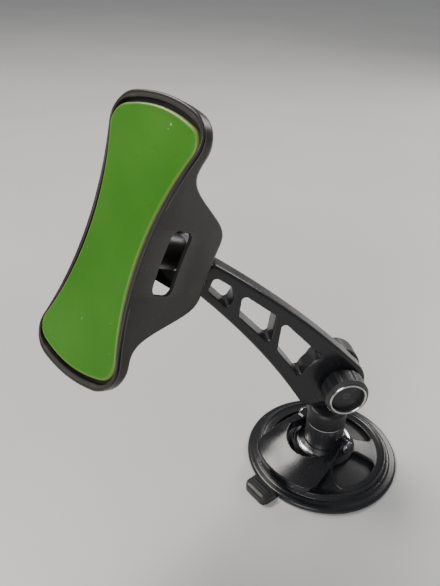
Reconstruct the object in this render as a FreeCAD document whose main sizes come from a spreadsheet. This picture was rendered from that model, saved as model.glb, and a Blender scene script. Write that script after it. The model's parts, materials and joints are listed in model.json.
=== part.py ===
"""Suction phone mount: lever-locked cup, swivelling neck, curved arm and a ball-jointed head.

Millimetres. The origin is the centre of the suction face, +Z is up, the arm leans towards -X and
its pivot lies along Y. The head has a frame of its own: x across, y along its length and z out of
the pad.
"""
import FreeCAD
import Part
import Sketcher
import math
import os

ORIGIN = FreeCAD.Vector(0, 0, 0)
X_AXIS = FreeCAD.Vector(1, 0, 0)
Y_AXIS = FreeCAD.Vector(0, 1, 0)
Z_AXIS = FreeCAD.Vector(0, 0, 1)
HOME = FreeCAD.Placement()

# places of small fixings, and how far the shell stands outside the pad
SWIVEL_PIN_OFFSET = 4.62
SWIVEL_PIN_HEIGHT = 21.5
CLIP_GROOVE = 1.6
SHELL_SIDE = 1.6
SHELL_END = 3.6
SCREW_SPOTS = [(x, y) for x in (-14.5, 14.5) for y in (-39.0, 39.0)]

DIMENSIONS = {
    # base
    "cover_rad": 37.5, "cover_lip": 1.7, "ridge_rad": 31.4, "ridge_top": 6.0, "step_rad": 33.2,
    "step_top": 3.3, "dish_rad": 27.6, "dish_top": 4.7, "collar_rad": 14.2, "collar_top": 11.0,
    "cup_rad": 35.6, "cup_lip": 1.5, "cup_top": 6.2, "cup_boss": 12.0,
    "kidney_in": 15.6, "kidney_out": 27.0, "kidney_half": 30.0, "kidney_round": 3.0,
    "tab_reach": 46.0, "tab_width": 14.6, "tab_top": 4.4, "lever_turn": 209.0,
    # stem, pin and lever
    "stem_rad": 9.4, "foot_rad": 10.6, "foot_low": 3.4, "foot_top": 5.2, "stem_top": 23.5,
    "spigot_rad": 5.0, "spigot_low": 19.7, "pin_rad": 2.0, "pin_height": 16.9, "cam_rad": 3.3,
    "cam_offset": 1.6, "washer_thick": 0.8, "lever_reach": 34.3, "lever_half": 19.6,
    "lever_side": 14.6, "lever_gap": 10.2, "lever_thick": 3.4, "lever_tip": 9.8,
    # neck and pivot
    "neck_rad": 9.5, "neck_shoulder": 33.5, "pivot_height": 55.0, "knuckle_rad": 12.6,
    "knuckle_thick": 8.9, "joint_gap": 0.3, "bolt_rad": 3.0, "bolt_head": 5.6, "knob_rad": 9.8,
    "knob_face": 20.4, "knob_dish": 7.4, "knob_depth": 2.6,
    # arm
    "arm_thick": 9.0, "arm_hub": 11.8, "arm_top_arc": 420.0, "arm_under_arc": 330.0,
    # ball joint
    "ball_rad": 8.0, "ball_x": -70.0, "ball_y": -4.8, "ball_z": 124.7, "stud_rad": 2.5,
    "stud_slope": 42.0, "tip_gap": 10.0,
    # head
    "head_azimuth": -139.7, "head_rise": 28.0, "head_roll": -3.1, "ball_depth": 38.0,
    "pad_long": 91.6, "pad_end": 43.2, "pad_waist": 25.0, "pad_bulge": 5.4, "pad_thick": 2.4,
    "pad_corner": 6.5,
    "tray_thick": 4.2, "flange_depth": 7.4, "head_depth": 39.6, "shell_wall": 2.2,
}


class Size:
    """A length that carries its value and the spreadsheet expression that gives it."""

    def __init__(self, text, value):
        self.text = text
        self.value = value

    def __add__(self, other):
        other = as_size(other)
        return Size(f"({self.text} + {other.text})", self.value + other.value)

    def __sub__(self, other):
        other = as_size(other)
        return Size(f"({self.text} - {other.text})", self.value - other.value)

    def __radd__(self, other):
        return as_size(other) + self

    def __rsub__(self, other):
        return as_size(other) - self

    def __rmul__(self, other):
        return self * other

    def __mul__(self, other):
        other = as_size(other)
        return Size(f"({self.text} * {other.text})", self.value * other.value)

    def __truediv__(self, other):
        other = as_size(other)
        return Size(f"({self.text} / {other.text})", self.value / other.value)

    def __neg__(self):
        return self * -1


def as_size(thing):
    return thing if isinstance(thing, Size) else Size(f"({thing})", float(thing))


def make_sheet(doc):
    """Write every driving dimension into the spreadsheet and return them as Size values."""
    sheet = doc.addObject("Spreadsheet::Sheet", "dims")
    sizes = {}
    for row, (alias, number) in enumerate(DIMENSIONS.items(), start=1):
        sheet.set(f"A{row}", alias)
        sheet.set(f"B{row}", str(number))
        sheet.setAlias(f"B{row}", alias)
    doc.recompute()
    for alias in DIMENSIONS:
        sizes[alias] = Size(f"dims.{alias}", float(sheet.get(alias)))
    return sizes


class Outline:
    """A closed outline; each corner is a pair of sizes, each side straight or an arc."""

    def __init__(self, corners, arcs=None):
        self.corners = [(as_size(a), as_size(b)) for a, b in corners]
        self.arcs = arcs or {}

    def point(self, index):
        across, along = self.corners[index % len(self.corners)]
        return FreeCAD.Vector(across.value, along.value, 0)


def arc_between(start, end, radius):
    """Anticlockwise arc over the chord; a positive radius bulges to the right of start to end."""
    chord = end - start
    middle = (start + end) * 0.5
    side = FreeCAD.Vector(chord.y, -chord.x, 0).normalize()
    sag = abs(radius) - math.sqrt(radius * radius - (chord.Length / 2) ** 2)
    crown = middle + side * math.copysign(sag, radius)
    return Part.Arc(start, crown, end) if radius > 0 else Part.Arc(end, crown, start)


def draw(sketch, outline):
    """Put the outline into the sketch and bind every corner and arc radius to the sheet."""
    count = len(outline.corners)
    first = sketch.GeometryCount
    for index in range(count):
        start, end = outline.point(index), outline.point(index + 1)
        if index in outline.arcs:
            sketch.addGeometry(arc_between(start, end, outline.arcs[index].value), False)
        else:
            sketch.addGeometry(Part.LineSegment(start, end), False)
    flipped = [index in outline.arcs and outline.arcs[index].value < 0 for index in range(count)]
    for index in range(count):
        after = (index + 1) % count
        leave = 1 if flipped[index] else 2
        enter = 2 if flipped[after] else 1
        sketch.addConstraint(Sketcher.Constraint("Coincident", first + index, leave, first + after, enter))
    for index, (across, along) in enumerate(outline.corners):
        enter = 2 if flipped[index] else 1
        for kind, length in (("DistanceX", across), ("DistanceY", along)):
            rule = sketch.addConstraint(Sketcher.Constraint(kind, -1, 1, first + index, enter,
                length.value))
            sketch.setExpression(f"Constraints[{rule}]", length.text)
    for index, radius in outline.arcs.items():
        rule = sketch.addConstraint(Sketcher.Constraint("Radius", first + index, abs(radius.value)))
        sketch.setExpression(f"Constraints[{rule}]", f"abs({radius.text})")


def origin_feature(body, role):
    return next(item for item in body.Origin.OriginFeatures if item.Role == role)


def new_body(doc, label, place=HOME):
    body = doc.addObject("PartDesign::Body", label)
    body.Label = label
    body.Placement = place
    return body


def new_sketch(body, role, *outlines):
    sketch = body.newObject("Sketcher::SketchObject", body.Name + "_sketch")
    sketch.AttachmentSupport = [(origin_feature(body, role), "")]
    sketch.MapMode = "FlatFace"
    for outline in outlines:
        draw(sketch, outline)
    return sketch


def turned(doc, label, corners, place=HOME, arcs=None):
    """A body of revolution about Z from an outline of radius and height."""
    body = new_body(doc, label, place)
    sketch = new_sketch(body, "XZ_Plane", Outline(corners, arcs))
    turn = body.newObject("PartDesign::Revolution", body.Name + "_turn")
    turn.Profile = sketch
    turn.ReferenceAxis = (origin_feature(body, "Z_Axis"), [""])
    turn.Angle = 360
    sketch.Visibility = False
    return body


def padded(doc, label, plane, outlines, thick, place=HOME, midplane=False, flip=False):
    """A plate of the given outlines on one of the body's origin planes."""
    body = new_body(doc, label, place)
    sketch = new_sketch(body, plane, *outlines)
    pad = body.newObject("PartDesign::Pad", body.Name + "_pad")
    pad.Profile = sketch
    pad.setExpression("Length", as_size(thick).text)
    pad.Midplane = midplane
    pad.Reversed = flip
    return body


def round_corners(doc, body, spots, plane):
    """Fillet the edges that stand on the given outline corners, each with its own radius."""
    doc.recompute()
    for number, (across, along, radius) in enumerate(spots):
        names = edges_where(body, lambda edge: stands_on(edge, across, along, plane))
        if not names:
            raise RuntimeError(f"{body.Label}: no edge stands at {across}, {along}")
        add_fillet(doc, body, names, radius, f"_round{number}")


def add_fillet(doc, body, names, radius, suffix):
    tip = body.Tip
    fillet = body.newObject("PartDesign::Fillet", body.Name + suffix)
    fillet.Base = (tip, names)
    fillet.setExpression("Radius", as_size(radius).text)
    body.Tip = fillet
    doc.recompute()


def edges_where(body, pick):
    """Names of the tip's edges that pick accepts; the tip's shape is in the body's own frame."""
    return [f"Edge{index}" for index, edge in enumerate(body.Tip.Shape.Edges, start=1) if pick(edge)]


def stands_on(edge, across, along, plane):
    flat = [flatten(vertex.Point, plane) for vertex in edge.Vertexes]
    return len(flat) == 2 and all(near(point, across, along) for point in flat)


def flatten(point, plane):
    return {"XY_Plane": (point.x, point.y), "XZ_Plane": (point.x, point.z),
            "YZ_Plane": (point.y, point.z)}[plane]


def near(point, across, along):
    return abs(point[0] - across) < 0.02 and abs(point[1] - along) < 0.02


def cylinder(doc, name, radius, height, centre, axis=Z_AXIS, place=HOME):
    """A Part cylinder from centre along axis, both in the frame of place."""
    solid = doc.addObject("Part::Cylinder", name)
    solid.setExpression("Radius", as_size(radius).text)
    solid.setExpression("Height", as_size(height).text)
    local = FreeCAD.Placement(FreeCAD.Vector(*centre), FreeCAD.Rotation(Z_AXIS, FreeCAD.Vector(axis)))
    solid.Placement = place.multiply(local)
    return solid


def box(doc, name, low, high, place=HOME):
    solid = doc.addObject("Part::Box", name)
    for side, start, end in zip(("Length", "Width", "Height"), low, high):
        solid.setExpression(side, (as_size(end) - start).text)
    corner = FreeCAD.Vector(*[as_size(value).value for value in low])
    solid.Placement = place.multiply(FreeCAD.Placement(corner, FreeCAD.Rotation()))
    return solid


def sphere(doc, name, radius, centre, place=HOME):
    solid = doc.addObject("Part::Sphere", name)
    solid.setExpression("Radius", as_size(radius).text)
    solid.Placement = place.multiply(FreeCAD.Placement(FreeCAD.Vector(*centre), FreeCAD.Rotation()))
    return solid


def cut(doc, label, base, *tools):
    tool = tools[0] if len(tools) == 1 else fuse(doc, label + "_tools", *tools)
    result = doc.addObject("Part::Cut", label)
    result.Base, result.Tool = base, tool
    result.Label = label
    return result


def fuse(doc, label, *parts):
    result = doc.addObject("Part::MultiFuse", label)
    result.Shapes = list(parts)
    result.Label = label
    return result


def common(doc, label, *parts):
    result = doc.addObject("Part::MultiCommon", label)
    result.Shapes = list(parts)
    result.Label = label
    return result


def about_z(degrees):
    return FreeCAD.Placement(ORIGIN, FreeCAD.Rotation(Z_AXIS, degrees))


def rim_round(doc, body, radius, pick):
    """Fillet every edge of the body that pick accepts, in the body's own frame."""
    doc.recompute()
    add_fillet(doc, body, edges_where(body, pick), radius, "_rim")


# ---------------------------------------------------------------- base

def suction_cup(doc, d):
    disc = turned(doc, "cup_disc", [
        (0, 0), (d["cup_rad"], 0), (d["cup_rad"], d["cup_lip"] - 0.3), (28, 1.9),
        (d["cup_boss"], d["cup_top"]), (d["stem_rad"], d["cup_top"]), (d["stem_rad"], d["foot_top"]),
        (d["foot_rad"], d["foot_top"]), (d["foot_rad"], d["foot_low"]), (0, d["foot_low"])])
    way = about_z(d["lever_turn"].value)
    half = d["tab_width"] * 0.5
    start = d["cover_rad"] + 0.5
    tab = padded(doc, "cup_tab", "XY_Plane",
                 [Outline([(start, -half), (d["tab_reach"], -half), (d["tab_reach"], half), (start,
                 half)])],
                 d["tab_top"], place=way)
    round_corners(doc, tab, [(d["tab_reach"].value, side * half.value, 3.2) for side in (-1, 1)],
        "XY_Plane")
    reach = d["tab_reach"].value
    rim_round(doc, tab, 0.7, lambda edge: is_top_edge(edge, d["tab_top"].value)
              and edge.CenterOfMass.x > start.value + 0.1)
    neck = box(doc, "tab_neck", (d["cup_rad"] - 2.5, -half, 0.2), (start + 1, half, 1.1), place=way)
    ribs = [box(doc, f"tab_rib{number}", (reach - 2.4 - 1.6 * number, -half + 2.2, d["tab_top"] - 0.4),
                (reach - 1.6 - 1.6 * number, half - 2.2, d["tab_top"] + 0.35),
                place=way) for number in range(3)]
    return fuse(doc, "suction_cup", disc, tab, neck, *ribs)


def is_top_edge(edge, height):
    return all(abs(vertex.Point.z - height) < 0.01 for vertex in edge.Vertexes)


def stem_hub(doc, d):
    column = turned(doc, "stem_column", [
        (0, d["foot_low"]), (d["foot_rad"], d["foot_low"]), (d["foot_rad"], d["foot_top"]),
        (d["stem_rad"], d["foot_top"]), (d["stem_rad"], d["stem_top"]), (d["spigot_rad"] + 0.06,
        d["stem_top"]),
        (d["spigot_rad"] + 0.06, d["spigot_low"] - 0.1), (0, d["spigot_low"] - 0.1)])
    way = about_z(d["lever_turn"].value)
    across = d["stem_rad"] * 2 + 4
    bore = cylinder(doc, "stem_bore", d["pin_rad"], across,
                    (0, -across.value / 2, d["pin_height"].value), Y_AXIS, way)
    slots = [cylinder(doc, f"swivel_bore{side}", 0.8, across,
                      (side * SWIVEL_PIN_OFFSET, -across.value / 2, SWIVEL_PIN_HEIGHT), Y_AXIS, way)
             for side in (-1, 1)]
    return cut(doc, "stem_hub", column, bore, *slots)


def swivel_pins(doc, d):
    way = about_z(d["lever_turn"].value)
    long = 15.6
    pins = [cylinder(doc, f"swivel_pin{side}", 0.8, long, (side * SWIVEL_PIN_OFFSET, -long / 2,
        SWIVEL_PIN_HEIGHT),
                     Y_AXIS, way) for side in (-1, 1)]
    return fuse(doc, "swivel_pins", *pins)


def swivel_washer(doc, d):
    low = d["stem_top"]
    return turned(doc, "swivel_washer", [
        (d["spigot_rad"] + 0.1, low), (d["stem_rad"] - 0.4, low), (d["stem_rad"] - 0.4, low + 0.4),
        (d["spigot_rad"] + 0.1, low + 0.4)])


def base_cover(doc, d):
    rad, bore = d["cover_rad"], d["stem_rad"] + 0.35
    shell = turned(doc, "cover_shell", [
        (rad - 1.6, 0), (rad - 0.3, 0), (rad, 0.3), (rad, d["cover_lip"]), (rad - 0.7, 2.4), (34.0, 2.8),
        (d["step_rad"] + 0.3, d["step_top"]), (d["step_rad"] - 0.3, d["step_top"]), (32.5, 3.0),
        (d["ridge_rad"] + 0.5, 5.5), (d["ridge_rad"] + 0.1, d["ridge_top"]), (d["ridge_rad"] - 0.5,
        d["ridge_top"]),
        (30.2, 5.2), (d["dish_rad"], d["dish_top"]), (15.4, 8.5), (d["collar_rad"], 10.5),
        (d["collar_rad"] - 0.6, d["collar_top"]), (bore, d["collar_top"]), (bore, 9.7), (12.9, 9.7),
        (12.9, 6.9), (14.4, 6.7), (27.4, 2.9), (30.3, 3.3), (30.9, 2.2), (rad - 1.6, 1.6)])
    half = math.radians(d["kidney_half"].value)
    inner, outer = d["kidney_in"], d["kidney_out"]
    tools = []
    for number in range(4):
        corners = [(inner * math.cos(half), inner * -math.sin(half)), (outer * math.cos(half),
            outer * -math.sin(half)),
                   (outer * math.cos(half), outer * math.sin(half)), (inner * math.cos(half),
                   inner * math.sin(half))]
        tool = padded(doc, f"kidney{number}", "XY_Plane", [Outline(corners, {1: outer, 3: -inner})], 14,
                      place=about_z(d["lever_turn"].value + 90 * number))
        round_corners(doc, tool, [(a.value, b.value, d["kidney_round"]) for a, b in corners], "XY_Plane")
        tools.append(tool)
    edge = d["tab_width"] * 0.5 + 0.4
    notch = box(doc, "tab_notch", (rad - 3.2, -edge, -1), (rad + 1, edge, 1.35),
        place=about_z(d["lever_turn"].value))
    return cut(doc, "base_cover", shell, notch, *tools)


def cam_washer(doc, d):
    low = d["collar_top"]
    return turned(doc, "cam_washer", [
        (d["stem_rad"] + 0.35, low), (13.4, low), (13.4, low + 0.45), (12.2, low + d["washer_thick"]),
        (d["stem_rad"] + 0.35, low + d["washer_thick"])])


def release_spring(doc, d):
    """Two and a half turns of wire between the cup's boss and the cover."""
    wire, mean, low, high = 0.42, 11.35, d["cup_top"].value + 0.45, 9.25
    helix = Part.makeHelix((high - low) / 2.5, high - low, mean)
    section = Part.Wire(Part.makeCircle(wire, FreeCAD.Vector(mean, 0, 0), Y_AXIS))
    spring = doc.addObject("Part::Feature", "release_spring")
    spring.Shape = Part.Wire(helix).makePipeShell([section], True, True)
    spring.Placement = FreeCAD.Placement(FreeCAD.Vector(0, 0, low), FreeCAD.Rotation())
    return spring


def lever_pin(doc, d):
    half = d["lever_side"].value + 1.3
    return renamed(cylinder(doc, "lever_pin", d["pin_rad"], half * 2, (0, -half, d["pin_height"].value),
        Y_AXIS,
                            about_z(d["lever_turn"].value)))


def renamed(obj):
    obj.Label = obj.Name
    return obj


def pin_clips(doc, d):
    clips = []
    for side in (-1, 1):
        place = about_z(d["lever_turn"].value).multiply(FreeCAD.Placement(
            FreeCAD.Vector(0, side * (d["lever_side"].value + 0.25), d["pin_height"].value),
            FreeCAD.Rotation(Z_AXIS, Y_AXIS * side)))
        clips.append(turned(doc, f"pin_clip{side + 1}", [
            (d["pin_rad"], 0), (3.1, 0), (3.1, 0.4), (2.7, 0.8), (d["pin_rad"], 0.8)], place=place))
    return fuse(doc, "pin_clips", *clips)


def lock_lever(doc, d):
    """Loop round the neck: a plan outline cut by the lever's side profile, with two cam bosses."""
    way = about_z(d["lever_turn"].value)
    side, gap, half = d["lever_side"], d["lever_gap"], d["lever_half"]
    reach = d["lever_reach"] - 6.2
    plan = padded(doc, "lever_plan", "XY_Plane", [Outline([
        (-3.2, -side), (4, -side), (14, -half + 1.9), (reach, -half), (reach, half), (14, half - 1.9),
        (4, side), (-3.2, side), (-3.2, gap), (4, gap), (10, 12.4), (10, -12.4), (4, -gap), (-3.2, -gap)],
        {3: d["lever_reach"], 10: as_size(-12.6)})], 24, place=way)
    round_corners(doc, plan, [(reach.value, turn * half.value, 8.0) for turn in (-1, 1)], "XY_Plane")
    pin = d["pin_height"]
    thick = d["lever_thick"]
    profile = padded(doc, "lever_profile", "XZ_Plane", [Outline([
        (-3.4, pin - 3.2), (3.2, pin - 3.0), (15, 15.6 - thick), (26, 11.8 - thick), (31,
        d["lever_tip"] - 3.0),
        (36, d["lever_tip"] - 3.2), (36, d["lever_tip"] - 0.8), (33.2, d["lever_tip"]), (26, 12.0), (15,
        16.0),
        (3.2, pin + 3.0), (-3.4, pin + 3.2)])], 50, place=way, midplane=True)
    blade = common(doc, "lever_blade", plan, profile)
    bosses = []
    for turn in (-1, 1):
        start = gap.value if turn > 0 else -side.value
        for name, drop, radius in (("boss", 0.0, 3.3), ("cam", d["cam_offset"].value, d["cam_rad"])):
            bosses.append(cylinder(doc, f"lever_{name}{turn + 1}", radius, side - gap,
                                   (0, start, pin.value - drop), Y_AXIS, way))
    solid = fuse(doc, "lever_solid", blade, *bosses)
    bore = cylinder(doc, "lever_bore", d["pin_rad"] + 0.05, 40, (0, -20, pin.value), Y_AXIS, way)
    return cut(doc, "lock_lever", solid, bore)


# ---------------------------------------------------------------- neck and pivot

def neck_post(doc, d):
    rad, spigot = d["neck_rad"], d["spigot_rad"]
    groove = SWIVEL_PIN_OFFSET - 0.87
    post = turned(doc, "neck_round", [
        (0, d["spigot_low"]), (spigot, d["spigot_low"]), (spigot, 20.6), (groove, 20.6), (groove, 22.4),
        (spigot, 22.4), (spigot, 23.95), (rad - 0.4, 23.95), (rad, 24.35), (rad, d["neck_shoulder"] - 1.2),
        (rad - 1.2, d["neck_shoulder"]), (0, d["neck_shoulder"])])
    near_face = d["joint_gap"].value
    web = box(doc, "neck_web", (-8.8, near_face, 28), (8.8, d["joint_gap"] + d["knuckle_thick"],
        d["pivot_height"]))
    disc = cylinder(doc, "neck_disc", d["knuckle_rad"], d["knuckle_thick"], (0, near_face,
        d["pivot_height"].value), Y_AXIS)
    bore = cylinder(doc, "neck_bore", d["bolt_rad"] + 0.03, 30, (0, -5, d["pivot_height"].value), Y_AXIS)
    return cut(doc, "neck_post", fuse(doc, "neck_solid", post, web, disc), bore)


def pivot_place(d, start):
    """Frame on the pivot axis whose z runs out of the knob, starting at the given Y."""
    return FreeCAD.Placement(FreeCAD.Vector(0, start, d["pivot_height"].value), FreeCAD.Rotation(Z_AXIS,
        -Y_AXIS))


def pivot_bolt(doc, d):
    back = d["joint_gap"].value + d["knuckle_thick"].value
    return turned(doc, "pivot_bolt", [
        (0, -3.6), (d["bolt_head"] - 0.6, -3.6), (d["bolt_head"], -3.0), (d["bolt_head"], 0),
        (d["bolt_rad"], 0),
        (d["bolt_rad"], 25.4), (d["bolt_rad"] - 0.5, 25.9), (0, 25.9)], place=pivot_place(d, back))


def washer(doc, label, inner, outer, low, high, place):
    return turned(doc, label, [(inner, low), (outer, low), (outer, high), (inner, high)], place=place)


def arm_near(d):
    return d["joint_gap"].value + d["arm_thick"].value


def pivot_knob(doc, d):
    start = arm_near(d) + 1.1
    top = d["knob_face"] - start
    rad, dish = d["knob_rad"], d["knob_dish"]
    place = pivot_place(d, -start)
    blank = turned(doc, "knob_blank", [
        (5.05, 0), (rad - 0.8, 0), (rad, 0.9), (rad, top - 1.9), (rad - 0.6, top - 0.8), (dish, top - 0.8),
        (dish - 0.5, top - d["knob_depth"]), (0, top - d["knob_depth"] - 0.3), (0, 6.6),
        (d["bolt_rad"] + 0.05, 6.6), (d["bolt_rad"] + 0.05, 4.8), (5.05, 4.8)], place=place)
    flutes = []
    count, flute, bite = 14, 2.6, 0.4
    out = rad.value + flute - bite
    for number in range(count):
        angle = 2 * math.pi * number / count
        spot = (out * math.cos(angle), out * math.sin(angle), -1)
        flutes.append(cylinder(doc, f"knob_flute{number}", flute, 8.6, spot, Z_AXIS, place))
    return cut(doc, "pivot_knob", blank, *flutes)


def knob_ring(doc, d):
    top = d["knob_face"] - arm_near(d) - 1.1
    dish = d["knob_dish"]
    return turned(doc, "knob_ring", [
        (dish, top - 0.8), (dish + 0.95, top - 0.8), (dish + 0.95, top - 0.3), (dish + 0.7, top),
        (dish + 0.25, top), (dish, top - 0.3)], place=pivot_place(d, -(arm_near(d) + 1.1)))


def pivot_nut(doc, d):
    return washer(doc, "pivot_nut", d["bolt_rad"] + 0.05, 5.05, 0.1, 4.8, pivot_place(d,
        -(arm_near(d) + 1.1)))


# ---------------------------------------------------------------- arm

def arm(doc, d):
    """Curved beam with a round hub at the pivot, three windows and a bored tip for the ball stud."""
    place = FreeCAD.Placement(FreeCAD.Vector(0, -d["joint_gap"].value, 0), FreeCAD.Rotation())
    high = d["pivot_height"]
    hub = d["arm_hub"]
    top_turn, low_turn = math.radians(46), math.radians(245)
    hub_top = (hub * math.cos(top_turn), high + hub * math.sin(top_turn))
    hub_low = (hub * math.cos(low_turn), high + hub * math.sin(low_turn))
    beam = padded(doc, "arm_beam", "XZ_Plane", [Outline([
        (-59.3, 121.6), (-65.9, 114.4), (-66.8, 109.6), (-15.5, high - 13), hub_low, hub_top],
        {2: -d["arm_under_arc"], 4: hub, 5: d["arm_top_arc"]})], d["arm_thick"], place=place)
    round_corners(doc, beam, [(-59.3, 121.6, 2.5), (-66.8, 109.6, 3), (-15.5, high.value - 13, 6)],
        "XZ_Plane")
    thick = d["arm_thick"].value
    rim_round(doc, beam, 1.3, lambda edge: any(
        all(abs(abs(vertex.Point.y) - side) < 0.01 for vertex in edge.Vertexes) for side in (0, thick)))
    windows = [
        ([(-58.4, 115.4), (-61.0, 109.4), (-53.2, 100.6), (-50.6, 105.2), (-51.8, 110.6)], {}),
        ([(-47.0, 106.5), (-48.2, 96.0), (-34.3, 80.4), (-32.6, 95.0)], {}),
        ([(-29.6, 92.0), (-30.8, 77.0), (-19.3, 60.2), (-9.6, 70.4)], {2: as_size(-12.5)}),
    ]
    tools = []
    for number, (corners, arcs) in enumerate(windows):
        tool = padded(doc, f"arm_window{number}", "XZ_Plane", [Outline(corners, arcs)], d["arm_thick"] + 4,
                      place=FreeCAD.Placement(FreeCAD.Vector(0, 2 - d["joint_gap"].value, 0),
                      FreeCAD.Rotation()))
        round_corners(doc, tool, [(a, b, 1.5) for a, b in corners], "XZ_Plane")
        tools.append(tool)
    tools.append(cylinder(doc, "arm_pivot_bore", d["bolt_rad"] + 0.05, 30, (0, -25, high.value), Y_AXIS))
    stud = stud_place(d)
    tools.append(cylinder(doc, "arm_stud_bore", d["stud_rad"] + 0.05, 5, (0, 0,
        d["tip_gap"].value - 0.5), Z_AXIS, stud))
    tools.append(cylinder(doc, "arm_clip_bore", 0.8, 20, (0, -10, 0), Y_AXIS, clip_place(d)))
    return cut(doc, "arm", beam, *tools)


def stud_place(d):
    """Frame at the ball's centre whose z runs down the stud into the arm and whose y is world Y."""
    slope = math.radians(d["stud_slope"].value)
    way = FreeCAD.Vector(math.cos(slope), 0, -math.sin(slope))
    side = way.cross(Y_AXIS)
    turn = FreeCAD.Rotation(-side, Y_AXIS, way, "ZYX")
    centre = FreeCAD.Vector(*[d[key].value for key in ("ball_x", "ball_y", "ball_z")])
    return FreeCAD.Placement(centre, turn)


def clip_place(d):
    shift = FreeCAD.Placement(FreeCAD.Vector(CLIP_GROOVE + 0.85, 0, d["tip_gap"].value + 2.3),
        FreeCAD.Rotation())
    return stud_place(d).multiply(shift)


def ball_stud(doc, d):
    rad, tip = d["stud_rad"], d["tip_gap"]
    ball = sphere(doc, "stud_ball", d["ball_rad"], (0, 0, 0), stud_place(d))
    shank = turned(doc, "stud_shank", [
        (0, 0), (rad, 0), (rad, tip - 1.1), (rad + 1.3, tip - 0.9), (rad + 1.3, tip - 0.15), (rad,
        tip - 0.15),
        (rad, tip + 1.35), (CLIP_GROOVE, tip + 1.35), (CLIP_GROOVE, tip + 3.25), (rad, tip + 3.25),
        (rad, tip + 4.1), (0, tip + 4.1)], place=stud_place(d))
    return fuse(doc, "ball_stud", ball, shank)


def stud_clip(doc, d):
    half = d["arm_thick"].value / 2 - 0.6
    return renamed(cylinder(doc, "stud_clip", 0.8, half * 2, (0, -half, 0), Y_AXIS, clip_place(d)))


# ---------------------------------------------------------------- head

def head_place(d):
    """Frame at the middle of the pad's face: x across, y along the head, z out of the pad."""
    turn = (FreeCAD.Rotation(Z_AXIS, d["head_azimuth"].value + 90)
            .multiply(FreeCAD.Rotation(X_AXIS, 90 - d["head_rise"].value))
            .multiply(FreeCAD.Rotation(Z_AXIS, d["head_roll"].value)))
    ball = FreeCAD.Vector(*[d[key].value for key in ("ball_x", "ball_y", "ball_z")])
    return FreeCAD.Placement(ball + turn.multVec(Z_AXIS * d["ball_depth"].value), turn)


def lifted(place, height):
    return place.multiply(FreeCAD.Placement(FreeCAD.Vector(0, 0, height), FreeCAD.Rotation()))


def sag_radius(chord, sag):
    """Radius of an arc from its chord and its sag."""
    return chord * chord / (sag * 8) + sag * 0.5


def hourglass(d, side=0.0, end=0.0):
    """The head's outline, grown from the pad's by side at its long sides and end at its ends."""
    half_wide = d["pad_end"] * 0.5 + side
    half_waist = d["pad_waist"] * 0.5 + side
    half_long = d["pad_long"] * 0.5 - d["pad_bulge"] + end
    waist_arc = sag_radius(half_long * 2, half_wide - half_waist)
    end_arc = sag_radius(half_wide * 2, d["pad_bulge"])
    return Outline([(half_wide, -half_long), (half_wide, half_long), (-half_wide, half_long),
                    (-half_wide, -half_long)], {0: -waist_arc, 1: end_arc, 2: -waist_arc, 3: end_arc})


def hourglass_plate(doc, d, label, side, end, corner, low, high):
    """A plate of the head's outline between two heights of the head's frame."""
    outline = hourglass(d, side, end)
    plate = padded(doc, label, "XY_Plane", [outline], high - low, place=lifted(head_place(d), low))
    round_corners(doc, plate, [(a.value, b.value, corner) for a, b in outline.corners], "XY_Plane")
    return plate


def side_profile(doc, d, label, inset):
    """The head seen from its side: thin ends and a deep middle with rounded shoulders."""
    deep = -d["head_depth"] + inset
    flange = -d["flange_depth"] + inset
    front = -d["tray_thick"]
    end = 50 - inset
    points = [(-end, front), (-end, flange + 2.0), (-end + 4, flange), (-29.0 + inset, flange - 0.6),
              (-16.6 + inset, deep), (14.4 - inset, deep), (26.6 - inset, flange - 0.6), (end - 4, flange),
              (end, flange + 2.0), (end, front)]
    profile = padded(doc, label, "YZ_Plane", [Outline(points)], 60, place=head_place(d), midplane=True)
    rounds = [(points[3], 9.0 + inset), (points[4], 8.0 - inset), (points[5], 8.0 - inset), (points[6],
        9.0 + inset)]
    round_corners(doc, profile, [(as_size(a).value, as_size(b).value, radius) for (a, b),
        radius in rounds], "YZ_Plane")
    return profile


def head_housing(doc, d):
    deep, front, wall = -d["head_depth"], -d["tray_thick"], d["shell_wall"]
    side, end = SHELL_SIDE, SHELL_END
    outer = common(doc, "shell_outer", hourglass_plate(doc, d, "shell_block", side, end, 9.5, deep.value,
        front.value),
                   side_profile(doc, d, "shell_side", 0.0))
    inner = common(doc, "shell_inner",
                   hourglass_plate(doc, d, "shell_core", side - wall.value, end - wall.value, 7.5,
                                   deep.value + wall.value, front.value + 1),
                   side_profile(doc, d, "core_side", wall.value))
    place = head_place(d)
    hole = cylinder(doc, "ring_bore", 10.9, 12, (0, 0, deep.value - 3), Z_AXIS, place)
    seat = cylinder(doc, "ring_seat", 11.85, 8, (0, 0, -37.4), Z_AXIS, place)
    slot = padded(doc, "shell_slot", "YZ_Plane", [Outline([(-12.2, -20.2), (11.2, -20.2), (11.2, -9.6),
        (-12.2, -9.6)])],
                  60, place=place, midplane=True)
    round_corners(doc, slot, [(-12.2, -20.2, 3), (11.2, -20.2, 3), (11.2, -9.6, 3), (-12.2, -9.6, 3)],
        "YZ_Plane")
    posts = [cylinder(doc, f"shell_post{number}", 3.2, 3.2, (x, y, flange_floor(d)), Z_AXIS, place)
             for number, (x, y) in enumerate(SCREW_SPOTS)]
    hollow = cut(doc, "shell_hollow", outer, inner)
    solid = fuse(doc, "shell_solid", hollow, *posts)
    pilots = [cylinder(doc, f"shell_pilot{number}", 1.0, 3, (x, y, front.value - 2.2), Z_AXIS, place)
              for number, (x, y) in enumerate(SCREW_SPOTS)]
    return cut(doc, "head_housing", solid, hole, seat, slot, *rear_windows(doc, d), *pilots)


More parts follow.
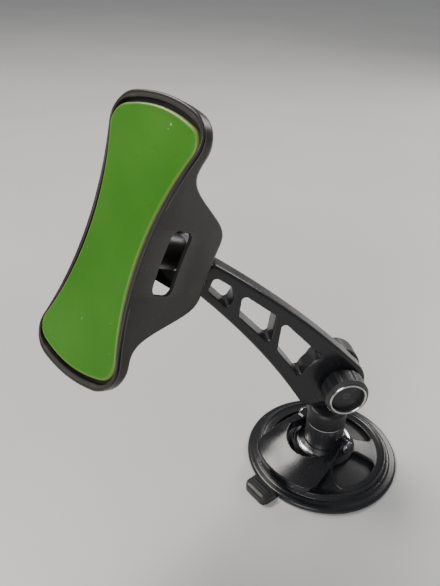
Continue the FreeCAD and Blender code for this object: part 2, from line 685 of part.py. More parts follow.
def rear_windows(doc, d):
    """Two long holes through the shoulders, one above and one below the ball."""
    half, round_rad = 11.0, 4.1
    windows = []
    for number, middle in enumerate((-18.6, 16.4)):
        tool = padded(doc, f"rear_window{number}", "XY_Plane", [Outline([
            (-half, middle - round_rad - 0.05), (half, middle - round_rad - 0.05),
            (half, middle + round_rad + 0.05), (-half, middle + round_rad + 0.05)])], 30,
            place=lifted(head_place(d), -50))
        round_corners(doc, tool, [(x, middle + y, round_rad) for x in (-half, half)
                                  for y in (-round_rad - 0.05, round_rad + 0.05)], "XY_Plane")
        windows.append(tool)
    return windows


def flange_floor(d):
    return -d["flange_depth"].value


def front_tray(doc, d):
    floor = -d["pad_thick"].value - 0.2
    plate = hourglass_plate(doc, d, "tray_plate", SHELL_SIDE, SHELL_END, 9.5, -d["tray_thick"].value, -0.3)
    recess = hourglass_plate(doc, d, "tray_recess", SHELL_SIDE - 1.2, SHELL_END - 2.0, 7.0, floor, 4)
    place = head_place(d)
    column = cylinder(doc, "tray_column", 7.0, 27.3, (0, 0, -31.4), Z_AXIS, place)
    bore = cylinder(doc, "tray_bore", 6.05, 24, (0, 0, -32.4), Z_AXIS, place)
    tools = [recess, bore]
    for number, (x, y) in enumerate(SCREW_SPOTS):
        tools.append(cylinder(doc, f"tray_hole{number}", 1.25, 8, (x, y, -6), Z_AXIS, place))
        tools.append(cylinder(doc, f"tray_sink{number}", 2.2, 1.1, (x, y, floor - 0.9), Z_AXIS, place))
    return cut(doc, "front_tray", fuse(doc, "tray_solid", plate, column), *tools)


def tray_screws(doc, d):
    floor = -d["pad_thick"].value - 0.2
    screws = []
    for number, (x, y) in enumerate(SCREW_SPOTS):
        place = head_place(d).multiply(FreeCAD.Placement(FreeCAD.Vector(x, y, floor), FreeCAD.Rotation()))
        screws.append(turned(doc, f"tray_screw{number}", [
            (0, -3.7), (1.0, -3.7), (1.0, -0.9), (2.1, -0.9), (2.1, -0.1), (0, -0.1)], place=place))
    return fuse(doc, "tray_screws", *screws)


def sticky_pad(doc, d):
    pad = hourglass_plate(doc, d, "sticky_pad", -0.35, -0.1, d["pad_corner"], -d["pad_thick"].value, 0.0)
    thick = d["pad_thick"].value
    rim_round(doc, pad, 0.9, lambda edge: is_top_edge(edge, thick))
    return pad


def pad_film(doc, d):
    thick = d["pad_thick"].value
    return hourglass_plate(doc, d, "pad_film", -0.6, -0.6, 6.0, -thick - 0.2, -thick)


def retainer_ring(doc, d):
    seat = d["ball_rad"] + 0.05
    low = -41.7
    lip = math.sqrt(seat.value ** 2 - (d["ball_depth"].value + low) ** 2)
    top = -36.8
    mouth = math.sqrt(seat.value ** 2 - (d["ball_depth"].value + top) ** 2)
    return turned(doc, "retainer_ring", [
        (lip, low), (8.7, low), (10.6, -40.0), (10.6, -37.15), (11.5, -37.15), (11.5, top), (mouth, top)],
        place=head_place(d), arcs={6: -seat})


def pressure_cup(doc, d):
    place = head_place(d)
    blank = cylinder(doc, "cup_blank", 5.95, 5.8, (0, 0, -32.4), Z_AXIS, place)
    ball = sphere(doc, "cup_seat", d["ball_rad"] + 0.05, (0, 0, -d["ball_depth"].value), place)
    return cut(doc, "pressure_cup", blank, ball)


def pressure_block(doc, d):
    """Grooved elastomer column that presses the cup against the ball."""
    low, ridge, valley = -26.5, 5.5, 4.4
    corners = [(0, low), (ridge, low)]
    for step in range(4):
        base = low + 1.6 + 4.2 * step
        corners += [(ridge, base), (valley, base + 1.0), (valley, base + 2.0), (ridge, base + 3.0)]
    return turned(doc, "pressure_block", corners + [(ridge, -8.5), (0, -8.5)], place=head_place(d))


def build(doc, d):
    """Make every sub-part and return them; each one's Label is its file's name."""
    pivot = pivot_place(d, 0)
    near = arm_near(d)
    return [
        suction_cup(doc, d), stem_hub(doc, d), swivel_pins(doc, d), swivel_washer(doc, d),
            base_cover(doc, d),
        cam_washer(doc, d), release_spring(doc, d), lever_pin(doc, d), pin_clips(doc, d), lock_lever(doc,
            d),
        neck_post(doc, d), pivot_bolt(doc, d), washer(doc, "friction_washer", 3.1, 9.5, -0.24, 0.24, pivot),
        arm(doc, d), washer(doc, "knob_washer", 3.1, 8.0, near + 0.1, near + 0.9, pivot), pivot_knob(doc,
            d),
        knob_ring(doc, d), pivot_nut(doc, d), ball_stud(doc, d), stud_clip(doc, d), retainer_ring(doc, d),
        pressure_cup(doc, d), pressure_block(doc, d), head_housing(doc, d), front_tray(doc, d),
        tray_screws(doc, d), sticky_pad(doc, d), pad_film(doc, d),
    ]


def check(doc, parts):
    for obj in doc.Objects:
        if "Invalid" in obj.State or "Error" in obj.State:
            raise RuntimeError(f"{obj.Label} failed: {obj.State}")
    for part in parts:
        if part.Shape.isNull() or not part.Shape.isValid():
            raise RuntimeError(f"{part.Label} has no valid shape")


def main():
    doc = FreeCAD.newDocument("phone_mount")
    parts = build(doc, make_sheet(doc))
    doc.recompute()
    check(doc, parts)
    os.makedirs("parts", exist_ok=True)
    for part in parts:
        part.Shape.exportStep(f"parts/{part.Label}.step")
        print(f"{part.Label}: {part.Shape.Volume:.0f} mm3, {len(part.Shape.Solids)} solid")


main()
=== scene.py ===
"""Looks for the suction phone mount: smooth shell, gel pad and moulded finishes round the CAD frame.

Metres, in the CAD row's frame: the origin is the centre of the suction face, +Z is up and the arm
leans towards -X. The head has a frame of its own: x across, y along its length, z out of the pad.
"""

import json
import math

import bmesh
import bpy
from mathutils import Euler, Matrix, Vector
from mathutils.kdtree import KDTree

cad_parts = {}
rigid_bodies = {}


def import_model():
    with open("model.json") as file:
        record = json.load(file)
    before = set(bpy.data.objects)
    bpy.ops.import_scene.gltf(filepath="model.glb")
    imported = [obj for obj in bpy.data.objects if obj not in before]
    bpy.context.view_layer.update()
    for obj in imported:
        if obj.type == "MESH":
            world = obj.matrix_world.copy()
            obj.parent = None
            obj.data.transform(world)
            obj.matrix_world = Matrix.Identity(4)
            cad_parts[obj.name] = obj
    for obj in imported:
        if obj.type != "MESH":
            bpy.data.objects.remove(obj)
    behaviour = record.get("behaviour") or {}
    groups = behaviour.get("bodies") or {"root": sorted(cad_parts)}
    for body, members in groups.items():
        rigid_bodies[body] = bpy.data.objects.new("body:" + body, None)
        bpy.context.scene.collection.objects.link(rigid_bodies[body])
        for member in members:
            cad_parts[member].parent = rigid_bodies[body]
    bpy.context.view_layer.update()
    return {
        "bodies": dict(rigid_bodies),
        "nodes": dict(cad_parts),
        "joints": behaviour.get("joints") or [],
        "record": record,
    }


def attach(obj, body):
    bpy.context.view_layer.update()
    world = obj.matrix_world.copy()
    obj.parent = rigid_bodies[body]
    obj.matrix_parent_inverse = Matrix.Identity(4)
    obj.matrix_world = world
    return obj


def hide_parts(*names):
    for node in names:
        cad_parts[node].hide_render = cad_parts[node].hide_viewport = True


MM = 0.001

# The camera, solved on the round base.
CAMERA_SPOT = Vector((-90.6, -203.6, 235.2)) * MM
CAMERA_TURN = (57.26, -1.25, -9.19)
CAMERA_LENS = 36.86

# The pad: an hourglass slab with a rounded rim, and a painted highlight as a paler band along its edge.
HEAD_ROLL = -3.1
PAD_LONG, PAD_END, PAD_WAIST, PAD_BULGE, PAD_THICK = (size * MM for size in (91.6, 43.2, 25.0, 5.4, 2.4))
PAD_CORNER, PAD_ROUNDING, PAD_FACE_INSET, PAD_FACE_CORNER = (size * MM for size in (6.5, 1.0, 1.2, 5.4))
PAD_FACE_SCALES = (1.0, 0.96, 0.90, 0.80, 0.68, 0.54, 0.40, 0.26, 0.12)
GEL_RIPPLE = 0.05 * MM
# The band's width and strength set the painted highlight on the pad's rounded rim.
RIM_HIGHLIGHT_BAND, RIM_HIGHLIGHT_STRENGTH = 1.1 * MM, 0.7

# The head's shell: the pad's outline grown, and its depth in mm along its length in mm.
SHELL_SIDE, SHELL_END, SHELL_CORNER, SHELL_ROUNDING = (size * MM for size in (2.0, 4.0, 9.8, 3.2))
SHELL_WALL, SHELL_FRONT, SHELL_THIN = 1.4 * MM, 1.0 * MM, 3.0 * MM
LIP_ROUNDING, LIP_DROP, LIP_BACK, LIP_INSET = (size * MM for size in (0.75, 0.15, 1.6, 1.5))
SHELL_DEPTH = [(-60, 7.6), (-42, 7.4), (-33, 7.8), (-29, 8.6), (-16.6, 39.6), (14.4, 39.6), (26.6, 8.6),
               (31, 7.8), (42, 7.4), (60, 7.6)]
SHOULDER_REACH = 8.5

# The shell's openings: a slot in each side, the ball's hole and two windows behind.
SLOT_LOW, SLOT_HIGH, SLOT_BACK, SLOT_FRONT, SLOT_CORNER = (
    size * MM for size in (-12.2, 11.2, -20.2, -9.6, 3.2))
BALL_HOLE = 10.9 * MM
WINDOW_HALF, WINDOW_CORNER, WINDOW_MIDDLES = 6.9 * MM, 4.1 * MM, (-18.6 * MM, 16.4 * MM)

# The lever's blade: heights in mm of its top and underside along its length in mm.
LEVER_TOP = [(3.2, 19.9), (15, 16.0), (26, 12.0), (33.2, 9.8), (36, 9.0), (60, 8.0)]
LEVER_UNDER = [(3.2, 13.9), (15, 12.2), (26, 8.4), (31, 6.8), (36, 6.6), (60, 6.4)]
LEVER_HALF, LEVER_REACH, BLADE_START, BLADE_BLEND = 19.6, 4.5, 5.0, 6.0
TOP_CROWN, TOP_DROP, UNDER_CROWN, UNDER_DROP = 2.4, 0.9, 0.9, 0.3

BORE_REACH, BORE_EASE = 3.6 * MM, 0.14 * MM
BLUR_STEPS = 6


# ---------------------------------------------------------------- stage

def add_camera():
    data = bpy.data.cameras.new("camera")
    data.lens = CAMERA_LENS
    data.sensor_width = 36.0
    data.clip_start = 0.01
    camera = bpy.data.objects.new("camera", data)
    camera.location = CAMERA_SPOT
    camera.rotation_euler = Euler([math.radians(angle) for angle in CAMERA_TURN])
    bpy.context.scene.collection.objects.link(camera)
    bpy.context.scene.camera = camera


def add_light(name, spot, aim, size, power, colour):
    data = bpy.data.lights.new(name, "AREA")
    data.shape = "DISK"
    data.size = size
    data.energy = power
    data.color = colour
    light = bpy.data.objects.new(name, data)
    light.location = spot
    light.rotation_euler = (Vector(aim) - Vector(spot)).to_track_quat("-Z", "Y").to_euler()
    bpy.context.scene.collection.objects.link(light)


def add_studio():
    world = bpy.data.worlds.new("room")
    world.use_nodes = True
    world.node_tree.nodes["Background"].inputs["Color"].default_value = (0.80, 0.82, 0.85, 1)
    world.node_tree.nodes["Background"].inputs["Strength"].default_value = 0.32
    bpy.context.scene.world = world
    add_light("key", (-0.45, 0.45, 1.0), (-0.03, 0, 0.08), 0.5, 9.0, (1.0, 0.96, 0.9))
    add_light("fill", (-0.7, -0.9, 0.8), (-0.05, 0, 0.08), 0.8, 7.0, (0.96, 0.98, 1.0))
    add_light("rim", (0.6, 0.5, 0.5), (-0.03, 0, 0.08), 0.4, 3.0, (1.0, 0.98, 0.95))
    bpy.ops.mesh.primitive_plane_add(size=6, location=(0, 0, 0))
    floor = bpy.context.object
    floor.name = "floor"
    floor.data.materials.append(floor_finish())


# ---------------------------------------------------------------- finishes

def new_material(name, colour, roughness, metallic=0.0):
    material = bpy.data.materials.new(name)
    material.use_nodes = True
    shader = material.node_tree.nodes["Principled BSDF"]
    shader.inputs["Base Color"].default_value = (*colour, 1)
    shader.inputs["Roughness"].default_value = roughness
    shader.inputs["Metallic"].default_value = metallic
    return material, material.node_tree, shader


def noise(tree, scale, detail=3.0):
    """A noise texture fixed to the piece; the scale is its cells to the metre."""
    place = tree.nodes.new("ShaderNodeTexCoord")
    texture = tree.nodes.new("ShaderNodeTexNoise")
    texture.inputs["Scale"].default_value = scale
    texture.inputs["Detail"].default_value = detail
    tree.links.new(place.outputs["Object"], texture.inputs["Vector"])
    return texture.outputs["Fac"]


def spread(tree, source, low, high, start=0.3, end=0.7):
    """Map a 0 to 1 signal onto low to high."""
    node = tree.nodes.new("ShaderNodeMapRange")
    for socket, value in (("From Min", start), ("From Max", end), ("To Min", low), ("To Max", high)):
        node.inputs[socket].default_value = value
    tree.links.new(source, node.inputs["Value"])
    return node.outputs["Result"]


def blend_colours(tree, factor, first, second):
    """Mix two colours, each one a plain colour or another node's output."""
    node = tree.nodes.new("ShaderNodeMix")
    node.data_type = "RGBA"
    for socket, colour in ((6, first), (7, second)):
        if isinstance(colour, tuple):
            node.inputs[socket].default_value = (*colour, 1)
        else:
            tree.links.new(colour, node.inputs[socket])
    tree.links.new(factor, node.inputs[0])
    return node.outputs[2]


def bump(tree, shader, height, distance):
    """Raise the surface by up to a distance in metres."""
    node = tree.nodes.new("ShaderNodeBump")
    node.inputs["Distance"].default_value = distance
    node.inputs["Strength"].default_value = 1.0
    tree.links.new(height, node.inputs["Height"])
    tree.links.new(node.outputs["Normal"], shader.inputs["Normal"])


def moulded(name, colour, worn_and_highlight, gloss, grain, grain_scale=2600.0):
    """Moulded plastic: fine grain, handling smears in the gloss, dust, and a paler grey along the edges that
    is partly wear and partly painted highlight.
    """
    material, tree, shader = new_material(name, colour, gloss)
    smears = noise(tree, 60.0, 4.0)
    tree.links.new(spread(tree, smears, gloss - 0.06, gloss + 0.12), shader.inputs["Roughness"])
    edge = tree.nodes.new("ShaderNodeNewGeometry").outputs["Pointiness"]
    # Sharp edges pale towards grey: partly wear, partly a painted edge highlight.
    edge_wear_and_highlight = spread(tree, edge, 0.0, 0.6, 0.52, 0.62)
    dust = spread(tree, noise(tree, 1500.0, 2.0), 0.0, 0.22, 0.66, 0.78)
    shade = blend_colours(tree, edge_wear_and_highlight, colour, worn_and_highlight)
    tree.links.new(blend_colours(tree, dust, shade, (0.30, 0.29, 0.27)), shader.inputs["Base Color"])
    bump(tree, shader, noise(tree, grain_scale, 2.0), grain)
    return material


def metal(name, colour, rough):
    """Metal with fine tool marks and patches of dulled surface."""
    material, tree, shader = new_material(name, colour, rough, 1.0)
    patches = noise(tree, 220.0, 3.0)
    tree.links.new(spread(tree, patches, rough - 0.05, rough + 0.12), shader.inputs["Roughness"])
    darker = tuple(value * 0.72 for value in colour)
    tree.links.new(blend_colours(tree, spread(tree, patches, 0.0, 1.0, 0.35, 0.75), colour, darker),
                   shader.inputs["Base Color"])
    bump(tree, shader, noise(tree, 900.0), 0.00002)
    return material


def waxy(name, colour, rough):
    """Nylon or adhesive: pale, faintly mottled and slightly translucent."""
    material, tree, shader = new_material(name, colour, rough)
    shader.inputs["Subsurface Weight"].default_value = 0.1
    shader.inputs["Subsurface Scale"].default_value = 0.001
    mottled = spread(tree, noise(tree, 300.0, 3.0), 0.0, 1.0)
    tree.links.new(blend_colours(tree, mottled, colour, tuple(value * 0.85 for value in colour)),
                   shader.inputs["Base Color"])
    bump(tree, shader, noise(tree, 1800.0, 2.0), 0.00002)
    return material


def green_gel():
    """Tacky gel: soft green with specks of lint, and a painted highlight that makes it paler and yellower at
    its rounded rim.
    """
    deep, pale, rim = (0.052, 0.235, 0.010), (0.078, 0.285, 0.018), (0.38, 0.42, 0.12)
    material, tree, shader = new_material("green_gel", deep, 0.32)
    shader.inputs["Subsurface Weight"].default_value = 0.25
    shader.inputs["Subsurface Radius"].default_value = (0.4, 1.0, 0.2)
    shader.inputs["Subsurface Scale"].default_value = 0.0015
    shader.inputs["Coat Weight"].default_value = 0.15
    shader.inputs["Coat Roughness"].default_value = 0.25
    broad = spread(tree, noise(tree, 28.0, 2.0), 0.0, 1.0)
    body = blend_colours(tree, broad, deep, pale)
    edge = tree.nodes.new("ShaderNodeAttribute")
    edge.attribute_name = "rim"
    # Painted highlight: the rim attribute blends the gel towards pale yellow along its rounded edge.
    body = blend_colours(tree, edge.outputs["Fac"], body, rim)
    lint = spread(tree, noise(tree, 420.0, 1.0), 0.0, 0.75, 0.76, 0.80)
    tree.links.new(blend_colours(tree, lint, body, (0.55, 0.62, 0.45)), shader.inputs["Base Color"])
    smears = noise(tree, 90.0, 4.0)
    tree.links.new(spread(tree, smears, 0.26, 0.44), shader.inputs["Roughness"])
    bump(tree, shader, noise(tree, 240.0, 3.0), 0.00006)
    return material


def floor_finish():
    """A plain pale floor with a faint cloud in its colour."""
    material, tree, shader = new_material("pale_floor", (0.70, 0.69, 0.67), 0.42)
    cloud = spread(tree, noise(tree, 6.0, 3.0), 0.0, 1.0)
    tree.links.new(blend_colours(tree, cloud, (0.72, 0.71, 0.69), (0.67, 0.66, 0.64)),
                   shader.inputs["Base Color"])
    return material


def finishes():
    # grey is the paler edge colour, partly wear and partly painted highlight.
    grey = (0.11, 0.11, 0.115)
    return {
        "cup_rubber": moulded("cup_rubber", (0.018, 0.018, 0.019), (0.05, 0.05, 0.05), 0.42, 0.00003, 1800.0),
        "satin_black": moulded("satin_black", (0.020, 0.020, 0.022), grey, 0.38, 0.00002),
        "gloss_black": moulded("gloss_black", (0.013, 0.013, 0.015), grey, 0.22, 0.000008),
        "polished_black": moulded("polished_black", (0.010, 0.010, 0.012), grey, 0.13, 0.000004),
        "shell_black": moulded("shell_black", (0.027, 0.024, 0.020), (0.12, 0.11, 0.10), 0.30, 0.000015),
        "steel": metal("steel", (0.50, 0.50, 0.52), 0.30),
        "bright_steel": metal("bright_steel", (0.68, 0.68, 0.70), 0.16),
        "spring_steel": metal("spring_steel", (0.40, 0.40, 0.42), 0.30),
        "chrome_trim": metal("chrome_trim", (0.72, 0.71, 0.67), 0.14),
        "brass": metal("brass", (0.72, 0.54, 0.24), 0.28),
        "nylon": waxy("nylon", (0.68, 0.67, 0.61), 0.5),
        "green_gel": green_gel(),
        "adhesive": waxy("adhesive", (0.72, 0.72, 0.66), 0.6),
    }


def paint_nodes(frame, looks):
    """Give each CAD node the finish of its material slot."""
    for row in frame["record"]["subparts"]:
        node = frame["nodes"][row["node"]]
        node.data.materials.clear()
        node.data.materials.append(looks[row["material_slot"]])


# ---------------------------------------------------------------- mesh helpers

def new_piece(name, points, faces, material, matrix=Matrix()):
    """A mesh object from points and faces, moved by a matrix."""
    mesh = bpy.data.meshes.new(name)
    mesh.from_pydata([matrix @ Vector(point) for point in points], [], faces)
    mesh.update()
    piece = bpy.data.objects.new(name, mesh)
    bpy.context.scene.collection.objects.link(piece)
    mesh.materials.append(material)
    tidy_normals(piece)
    return piece


def tidy_normals(piece):
    """Merge doubled points and turn every face outwards."""
    work = bmesh.new()
    work.from_mesh(piece.data)
    bmesh.ops.remove_doubles(work, verts=work.verts, dist=1e-6)
    bmesh.ops.recalc_face_normals(work, faces=work.faces)
    work.to_mesh(piece.data)
    work.free()


def smooth(piece, angle=35.0):
    bpy.ops.object.select_all(action="DESELECT")
    piece.select_set(True)
    bpy.context.view_layer.objects.active = piece
    bpy.ops.object.shade_smooth_by_angle(angle=math.radians(angle))


def apply_modifiers(piece):
    """Keep the mesh that a piece's modifiers give, and drop the modifiers."""
    graph = bpy.context.evaluated_depsgraph_get()
    mesh = bpy.data.meshes.new_from_object(piece.evaluated_get(graph))
    piece.modifiers.clear()
    piece.data = mesh


def cut_with(piece, cutter):
    """Take a cutter's volume away from a piece, and remove the cutter."""
    modifier = piece.modifiers.new("cut", "BOOLEAN")
    modifier.operation = "DIFFERENCE"
    modifier.solver = "MANIFOLD"
    modifier.object = cutter
    apply_modifiers(piece)
    bpy.data.objects.remove(cutter)


def arc(centre, radius, start, end, count):
    """Points on an arc from angle start to end, its last point left out."""
    return [(centre[0] + radius * math.cos(start + (end - start) * step / count),
             centre[1] + radius * math.sin(start + (end - start) * step / count)) for step in range(count)]


def hourglass(side, end, corner):
    """The pad's outline grown by side and end, as points anticlockwise from the waist at +x.

    Each corner is an arc that touches the waist's arc and the end's, so its middle lies where
    circles about their two middles cross.
    """
    half_wide, half_waist = PAD_END / 2 + side, PAD_WAIST / 2 + side
    half_long = PAD_LONG / 2 - PAD_BULGE + end
    waist_rad = (2 * half_long) ** 2 / (8 * (half_wide - half_waist)) + (half_wide - half_waist) / 2
    end_rad = (2 * half_wide) ** 2 / (8 * PAD_BULGE) + PAD_BULGE / 2
    waist_x, end_y = half_waist + waist_rad, half_long + PAD_BULGE - end_rad
    from_waist, from_end = waist_rad + corner, end_rad - corner
    gap = math.hypot(waist_x, end_y)
    along = (from_waist ** 2 - from_end ** 2 + gap ** 2) / (2 * gap)
    off = math.sqrt(from_waist ** 2 - along ** 2)
    way = (-waist_x / gap, end_y / gap)
    spots = [(waist_x + way[0] * along + turn * way[1] * off, way[1] * along - turn * way[0] * off)
             for turn in (-1, 1)]
    middle = max(spots, key=lambda spot: spot[1])
    lean = math.atan2(middle[1], middle[0] - waist_x)
    swing = math.atan2(middle[1] - end_y, middle[0])
    quarter = arc((waist_x, 0), waist_rad, math.pi, lean, 22)
    quarter += arc(middle, corner, lean - math.pi, swing, 12)
    quarter += arc((0, end_y), end_rad, swing, math.pi / 2, 12)
    top = quarter + [(0, half_long + PAD_BULGE)]
    left = [(-x, y) for x, y in reversed(top[:-1])]
    upper = top + left
    lower = [(x, -y) for x, y in reversed(upper[1:-1])]
    return upper + lower


def joint_row(frame, name):
    """The record's row of a joint."""
    return next(row for row in frame["record"]["behaviour"]["joints"] if row["name"] == name)


def head_matrix(frame):
    """The head's own frame: its origin is on the pad's face, straight out from the ball."""
    face = next(row for row in frame["record"]["mounts"] if row["name"] == "pad_face")
    out = Vector(joint_row(frame, "head_spin")["axis"]).normalized()
    turn = (Matrix.Rotation(math.atan2(out.y, out.x) + math.pi / 2, 4, "Z")
            @ Matrix.Rotation(math.acos(out.z), 4, "X")
            @ Matrix.Rotation(math.radians(HEAD_ROLL), 4, "Z"))
    return Matrix.Translation(Vector(face["pos_m"])) @ turn


def ring_faces(rings, count):
    """Quads between neighbouring rings of count points each."""
    faces = []
    for ring in range(rings - 1):
        for step in range(count):
            after = (step + 1) % count
            low, high = ring * count, (ring + 1) * count
            faces.append((low + step, low + after, high + after, high + step))
    return faces


def capped_faces(rings, count):
    """Quads between rings, closed by a face at each end."""
    last = (rings - 1) * count
    return ring_faces(rings, count) + [tuple(range(last, last + count)), tuple(reversed(range(count)))]


def along_line(line, place):
    """Height of a line of points at a place; the line goes on level past its ends."""
    for (start, low), (end, high) in zip(line, line[1:]):
        if place <= end:
            return low + (high - low) * max(0.0, place - start) / (end - start)
    return line[-1][1]


def blurred_line(line, place, reach):
    """The same height with the line's corners rounded over a reach."""
    shares = [(step, math.exp(-(2 * step / BLUR_STEPS) ** 2)) for step in range(-BLUR_STEPS, BLUR_STEPS + 1)]
    total = sum(share * along_line(line, place + step * reach / BLUR_STEPS) for step, share in shares)
    return total / sum(share for step, share in shares)


def outline_tree(outline, share=10):
    """A search tree of points close together along the outline."""
    tree = KDTree(len(outline) * share)
    for index, (start, end) in enumerate(zip(outline, outline[1:] + outline[:1])):
        for step in range(share):
            part = step / share
            spot = (start[0] + (end[0] - start[0]) * part, start[1] + (end[1] - start[1]) * part, 0)
            tree.insert(spot, index * share + step)
    tree.balance()
    return tree


# ---------------------------------------------------------------- pad

def gel_height(x, y):
    """The face of the gel: flat but for a faint ripple."""
    return -GEL_RIPPLE * (1 + math.sin(x * 160 + 1) * math.cos(y * 120 + 0.5))


def gel_rings():
    """Rings from the slab's back, up its sides, over its rounded rim and in across its face."""
    rings = []
    for depth in (PAD_THICK, PAD_THICK * 0.6):
        rings.append([(x, y, -depth) for x, y in hourglass(0, 0, PAD_CORNER)])
    for step in range(7):
        angle = math.radians(15 * step)
        inset = PAD_ROUNDING * (1 - math.cos(angle))
        rings.append([(x, y, -PAD_ROUNDING * (1 - math.sin(angle)))
                      for x, y in hourglass(-inset, -inset, PAD_CORNER - inset)])
    inner = hourglass(-PAD_FACE_INSET, -PAD_FACE_INSET, PAD_FACE_CORNER)
    for scale in PAD_FACE_SCALES:
        rings.append([(x * scale, y * scale, gel_height(x * scale, y * scale)) for x, y in inner])
    return rings


def painted_rim_highlight(frame, pad):
    """Store how near each point is to the slab's edge, for the painted highlight along its rounded rim."""
    shade = pad.data.attributes.new("rim", "FLOAT", "POINT")
    tree = outline_tree(hourglass(0, 0, PAD_CORNER))
    back = head_matrix(frame).inverted()
    for index, vertex in enumerate(pad.data.vertices):
        local = back @ vertex.co
        distance = tree.find((local.x, local.y, 0))[2]
        shade.data[index].value = max(0.0, 1.0 - distance / RIM_HIGHLIGHT_BAND) * RIM_HIGHLIGHT_STRENGTH


def gel_pad(frame, looks):
    """The gel pad: a rounded rim, a barely uneven face and a painted highlight as a paler band along its
    edge.
    """
    rings = gel_rings()
    points = [point for ring in rings for point in ring]
    faces = capped_faces(len(rings), len(rings[0]))
    pad = new_piece("gel_pad", points, faces, looks["green_gel"], head_matrix(frame))
    painted_rim_highlight(frame, pad)
    smooth(pad, 50)
    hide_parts("sticky_pad")
    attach(pad, "head")


# ---------------------------------------------------------------- shell

def shell_depth(y):
    """Depth of the shell behind the pad's face at y along the head, with rounded shoulders."""
    return blurred_line(SHELL_DEPTH, y / MM, SHOULDER_REACH) * MM


def shell_ring(outline, tree, scale):
    """A ring across the shell's back, dropping away where it nears the outline."""
    ring = []
    for x, y in outline:
        x, y = x * scale, y * scale
        distance = tree.find((x, y, 0))[2] if scale < 1 else 0.0
        drop = SHELL_ROUNDING - min(distance, SHELL_ROUNDING)
        loss = SHELL_ROUNDING - math.sqrt(SHELL_ROUNDING ** 2 - drop ** 2)
        ring.append((x, y, -max(shell_depth(y) - loss, SHELL_THIN)))
    return ring


def lip_rings():
    """Rings of the lip round the tray: down inside it, over its rounded edge and out."""
    inner = hourglass(SHELL_SIDE - LIP_INSET, SHELL_END - LIP_INSET, SHELL_CORNER - 1.4 * MM)
    rings = [[(x, y, -LIP_BACK) for x, y in inner]]
    for angle in range(180, -1, -30):
        turn = math.radians(angle)
        inset = LIP_ROUNDING * (1 - math.cos(turn))
        level = -LIP_DROP - LIP_ROUNDING * (1 - math.sin(turn))
        rings.append([(x, y, level) for x, y in hourglass(SHELL_SIDE - inset, SHELL_END - inset,
                                                          SHELL_CORNER - inset)])
    return rings


def side_ring(outline, share):
    """A ring at a share of the way down the shell's side."""
    return [(x, y, -(SHELL_FRONT + share * (shell_depth(y) - SHELL_ROUNDING - SHELL_FRONT)))
            for x, y in outline]


def head_shell(frame, looks):
    """The moulded shell: a deep middle fairing out into two flat ends, open at its sides and back."""
    outline = hourglass(SHELL_SIDE, SHELL_END, SHELL_CORNER)
    tree = outline_tree(outline)
    steps = [1 - 0.0011 * step ** 1.5 for step in range(20)]
    steps += [steps[-1] - 0.016 * step for step in range(1, 46)]
    rings = lip_rings()
    rings += [side_ring(outline, share) for share in (0.35, 0.75)]
    rings += [shell_ring(outline, tree, scale) for scale in steps]
    count = len(outline)
    points = [point for ring in rings for point in ring]
    faces = ring_faces(len(rings), count)
    faces.append(tuple(range((len(rings) - 1) * count, len(rings) * count)))
    shell = new_piece("head_shell", points, faces, looks["shell_black"])
    wall = shell.modifiers.new("wall", "SOLIDIFY")
    wall.thickness = SHELL_WALL
    wall.offset = -1.0
    apply_modifiers(shell)
    for cutter in [slot_cutter(), ball_cutter()] + window_cutters():
        cut_with(shell, cutter)
    shell.data.transform(head_matrix(frame))
    tidy_normals(shell)
    smooth(shell, 40)
    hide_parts("head_housing")
    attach(shell, "head")


def prism(name, points, count):
    """A closed bar between two outlines of count points each; cut edges can take its finish."""
    return new_piece(name, points, capped_faces(2, count), bpy.data.materials["adhesive"])


def slot_cutter():
    """A rounded bar along x that opens the shell's two side windows."""
    low, high = SLOT_LOW + SLOT_CORNER, SLOT_HIGH - SLOT_CORNER
    back, front = SLOT_BACK + SLOT_CORNER, SLOT_FRONT - SLOT_CORNER
    outline = []
    for y, z, turn in ((high, front, 0), (low, front, 90), (low, back, 180), (high, back, 270)):
        outline += arc((y, z), SLOT_CORNER, math.radians(turn), math.radians(turn + 90), 8)
    points = [(x, y, z) for x in (-40 * MM, 40 * MM) for y, z in outline]
    return prism("slot_cutter", points, len(outline))


def ball_cutter():
    """A round bar along z for the ball's hole."""
    outline = arc((0, 0), BALL_HOLE, 0, 2 * math.pi, 64)
    points = [(x, y, z) for z in (-50 * MM, -34 * MM) for x, y in outline]
    return prism("ball_cutter", points, len(outline))


def window_cutters():
    """Two long bars through the shoulders, one each side of the ball."""
    cutters = []
    for middle in WINDOW_MIDDLES:
        outline = arc((WINDOW_HALF, middle), WINDOW_CORNER, -math.pi / 2, math.pi / 2, 16)
        outline += arc((-WINDOW_HALF, middle), WINDOW_CORNER, math.pi / 2, math.pi * 1.5, 16)
        points = [(x, y, z) for z in (-50 * MM, -20 * MM) for x, y in outline]
        cutters.append(prism("window_cutter", points, len(outline)))
    return cutters


# ---------------------------------------------------------------- softened mouldings

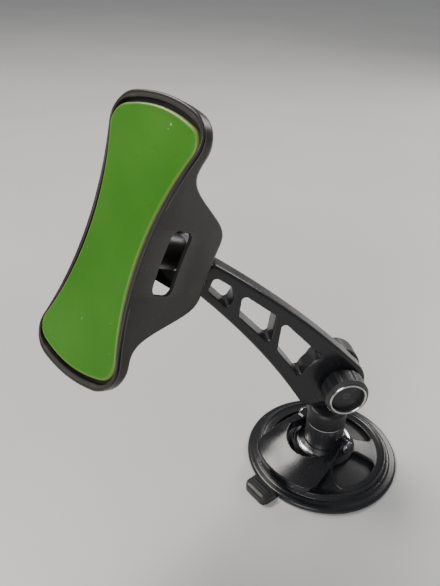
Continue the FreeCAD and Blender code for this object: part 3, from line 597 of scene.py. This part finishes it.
def soften(frame, looks, node, body, slot, voxel, passes, shape=None, finish=None):
    """A copy of a CAD moulding with its edges rounded over, as a mould leaves them.

    The voxel is in millimetres, and passes is how often the even mesh is smoothed.
    """
    source = frame["nodes"][node]
    piece = bpy.data.objects.new(node + "_moulding", source.data.copy())
    bpy.context.scene.collection.objects.link(piece)
    piece.data.materials.clear()
    piece.data.materials.append(looks[finish or slot])
    remesh = piece.modifiers.new("even", "REMESH")
    remesh.mode = "VOXEL"
    remesh.voxel_size = voxel * MM
    smoothing = piece.modifiers.new("round", "SMOOTH")
    smoothing.factor = 0.5
    smoothing.iterations = passes
    apply_modifiers(piece)
    if shape:
        shape(frame, piece.data)
    piece.data.polygons.foreach_set("use_smooth", [True] * len(piece.data.polygons))
    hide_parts(node)
    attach(piece, body)
    return piece


def crown_lever(frame, mesh):
    """Fair the lever's blade into one sweep and swell its middle."""
    pin = Vector(joint_row(frame, "lever_turn")["axis"])
    turn = Matrix.Rotation(-math.atan2(pin.x, -pin.y), 3, "Z")
    for vertex in mesh.vertices:
        spot = (turn @ vertex.co) / MM
        blend = min(1.0, max(0.0, (spot.x - BLADE_START) / BLADE_BLEND))
        top, under = along_line(LEVER_TOP, spot.x), along_line(LEVER_UNDER, spot.x)
        level = (spot.z - under) / (top - under)
        across = max(0.0, 1 - (spot.y / LEVER_HALF) ** 2)
        fair_top = blurred_line(LEVER_TOP, spot.x, LEVER_REACH) + TOP_CROWN * across - TOP_DROP
        fair_under = blurred_line(LEVER_UNDER, spot.x, LEVER_REACH) + UNDER_CROWN * across - UNDER_DROP
        fair = fair_under + level * (fair_top - fair_under)
        vertex.co.z = (spot.z + (fair - spot.z) * blend) * MM
    mesh.update()


def ease_bore(frame, mesh):
    """Open the arm's bore by a hair, so that its facets clear the bolt at every angle."""
    centre = Vector(joint_row(frame, "arm_pivot")["pos_m"])
    for vertex in mesh.vertices:
        across = Vector((vertex.co.x - centre.x, 0, vertex.co.z - centre.z))
        if across.length < BORE_REACH:
            vertex.co += across.normalized() * BORE_EASE
    mesh.update()


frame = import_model()
add_camera()
add_studio()
looks = finishes()
paint_nodes(frame, looks)
gel_pad(frame, looks)
head_shell(frame, looks)
soften(frame, looks, "lock_lever", "lever", "gloss_black", 0.30, 12, crown_lever,
       "polished_black")
soften(frame, looks, "arm", "arm", "gloss_black", 0.45, 6, ease_bore)
soften(frame, looks, "neck_post", "neck", "satin_black", 0.40, 5)
soften(frame, looks, "base_cover", "cover", "gloss_black", 0.36, 5)
soften(frame, looks, "suction_cup", "base", "cup_rubber", 0.40, 4)
